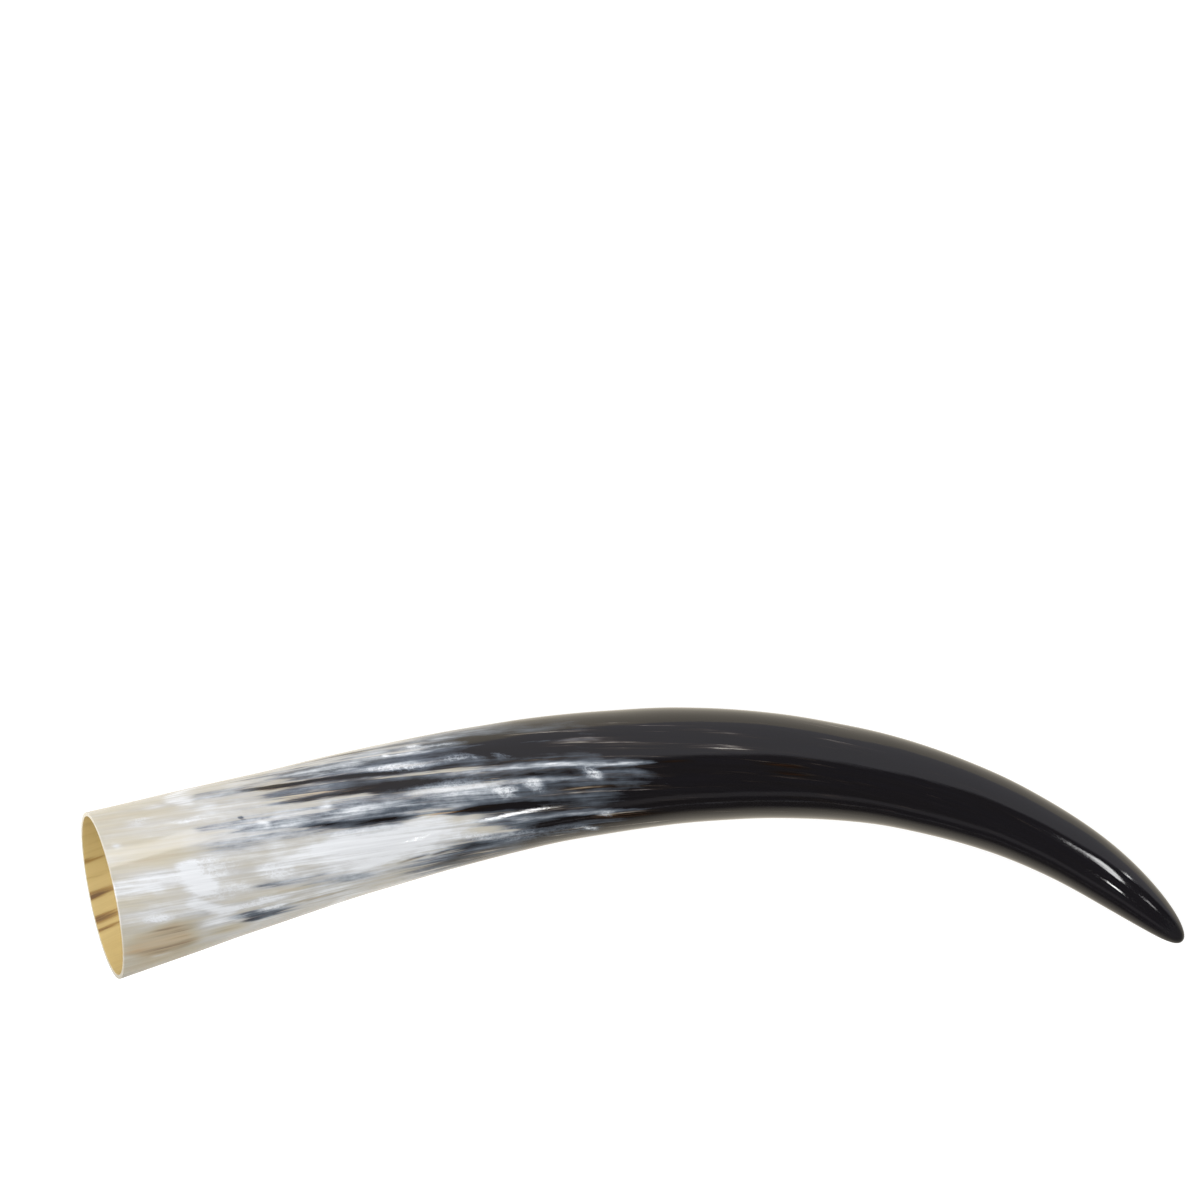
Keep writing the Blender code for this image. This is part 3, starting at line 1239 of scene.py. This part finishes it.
@dataclass(frozen=True)
class Softbox:
    """A flat soft light that faces a point: where it stands, its size and how bright it looks.

    Lengths are in metres. The compass counts in degrees from +X towards +Y, and the elevation from level.
    """

    name: str
    aim: tuple[float, float, float]
    compass: float
    elevation: float
    distance: float
    width: float
    height: float
    radiance: float
    shape: LampShape = LampShape.OBLONG

    def build(self) -> bpy.types.Object:
        """Hang the light.

        Returns:
            The light's object.
        """
        flat = math.radians(self.compass)
        up = math.radians(self.elevation)
        towards = Vector((math.cos(up) * math.cos(flat), math.cos(up) * math.sin(flat), math.sin(up)))
        lamp = bpy.data.lights.new(self.name, "AREA")
        lamp.shape = self.shape.value
        lamp.size, lamp.size_y = self.width, self.height
        lamp.energy = self.radiance * math.pi * self.width * self.height
        hung = bpy.data.objects.new(self.name, lamp)
        hung.location = Vector(self.aim) + towards * self.distance
        hung.rotation_euler = towards.to_track_quat("Z", "Y").to_euler()
        bpy.context.scene.collection.objects.link(hung)
        return hung


@dataclass
class Studio:
    """A plain pale table under soft lights, with a camera that looks down on it.

    Lengths are in metres and angles in degrees. The room's colours run overhead, from level on the +Y side,
    at 0, to level on the -Y side, at 1.
    """

    floor_size: float = 6.0
    floor_gap: float = 0.0004
    floor_finish: LitAcrylic = LitAcrylic()
    camera_place: tuple[float, float, float] = (-0.0162, -0.0356, 0.856)
    camera_tilt: float = 11.6
    camera_near: float = 0.01
    lens_mm: float = 45.0
    sensor_mm: float = 36.0
    lights: tuple[Softbox, ...] = (
        Softbox("front_strip", (-0.080, 0.007, 0.068), -72.3, 34.3, 1.0, 0.044, 0.100, 24.0, LampShape.OVAL),
        Softbox("tip_glint", (0.249, -0.047, 0.035), -67.0, 45.0, 0.26, 0.012, 0.034, 24.0, LampShape.OVAL),
        Softbox("tip_dash", (0.256, -0.034, 0.038), 13.0, 31.0, 0.5, 0.026, 0.026, 18.0, LampShape.OVAL),
        Softbox("tip_streak", (0.268, -0.045, 0.038), -21.0, 43.0, 0.5, 0.030, 0.050, 6.0, LampShape.OVAL),
        Softbox("tip_softbox", (0.250, -0.010, 0.035), -14.0, 54.0, 1.2, 0.38, 0.16, 10.0, LampShape.OVAL),
        Softbox("mouth_softbox_front", (0.000, 0.100, 0.000), -145.0, 46.0, 2.6, 1.6, 1.6, 5.1),
        Softbox("mouth_softbox_back", (0.000, 0.100, 0.000), 145.0, 46.0, 2.6, 1.6, 1.6, 2.8),
    )
    room: Ramp = (
        (0.000, "CBCBD2"),
        (0.400, "CBCBD2"),
        (0.435, "38393E"),
        (0.860, "343538"),
        (0.875, "868488"),
        (0.915, "868488"),
        (0.935, "262627"),
        (1.000, "262627"),
    )
    backdrop: str = "F2F2F0"

    def floor(self) -> bpy.types.Object:
        """Lay the table's pale top just under the horn.

        Returns:
            The floor's object.
        """
        half = self.floor_size / 2
        corners = [(-half, -half), (half, -half), (half, half), (-half, half)]
        mesh = bpy.data.meshes.new("table_top")
        mesh.from_pydata([(x, y, -self.floor_gap) for x, y in corners], [], [(0, 1, 2, 3)])
        mesh.materials.append(self.floor_finish.dress())
        floor = bpy.data.objects.new("table_top", mesh)
        bpy.context.scene.collection.objects.link(floor)
        return floor

    def surroundings(self) -> None:
        """Fill the room: a pale wall on the +Y side, dark overhead, and a dim light line low on the -Y side.

        The room lights the horn and shows in its polish. Behind it the camera sees a plain pale backdrop.
        """
        world = bpy.data.worlds.new("studio")
        world.use_nodes = True
        bpy.context.scene.world = world
        tree = world.node_tree
        room = tree.nodes["Background"]
        direction = add_node(tree, "TexCoord").outputs["Generated"]
        sides = add_node(tree, "SeparateXYZ", links={0: direction})
        up_and_across = {0: sides.outputs["Z"], 1: sides.outputs["Y"]}
        over = add_node(tree, "Math", {"operation": "ARCTAN2"}, links=up_and_across)
        share = add_node(tree, "Math", {"operation": "DIVIDE"}, {1: math.pi}, {0: over.outputs[0]})
        panels = add_node(tree, "ValToRGB", links={"Fac": share.outputs[0]}, stops=self.room)
        tree.links.new(panels.outputs["Color"], room.inputs["Color"])
        backdrop = add_node(tree, "Background", values={"Color": linear(self.backdrop)})
        seen = add_node(tree, "LightPath").outputs["Is Camera Ray"]
        both = add_node(tree, "MixShader", links={0: seen, 1: room.outputs[0], 2: backdrop.outputs[0]})
        tree.links.new(both.outputs[0], tree.nodes["World Output"].inputs["Surface"])

    def camera(self) -> bpy.types.Object:
        """Set the camera above the horn, tilted a little from straight down.

        Returns:
            The camera's object.
        """
        lens = bpy.data.cameras.new("camera")
        lens.lens = self.lens_mm
        lens.sensor_width = self.sensor_mm
        lens.clip_start = self.camera_near
        camera = bpy.data.objects.new("camera", lens)
        camera.location = self.camera_place
        camera.rotation_euler = (math.radians(self.camera_tilt), 0.0, 0.0)
        bpy.context.scene.collection.objects.link(camera)
        bpy.context.scene.camera = camera
        return camera

    def build(self) -> None:
        """Lay the floor, fill the room, hang the lights and set the camera."""
        self.floor()
        self.surroundings()
        for light in self.lights:
            light.build()
        self.camera()
        bpy.context.scene.view_settings.view_transform = "Standard"


def main() -> None:
    """Build the horn and then its studio, and report each piece."""
    logging.basicConfig(level=logging.INFO, format="%(message)s")
    horn = CowHorn(HornForm(), Keratin(), PolishedHorn(), RawHorn()).build()
    LOG.info("%s: %d faces", horn.name, len(horn.data.polygons))
    studio = Studio()
    studio.build()
    LOG.info("studio: %d lights", len(studio.lights))


if __name__ == "__main__":
    main()
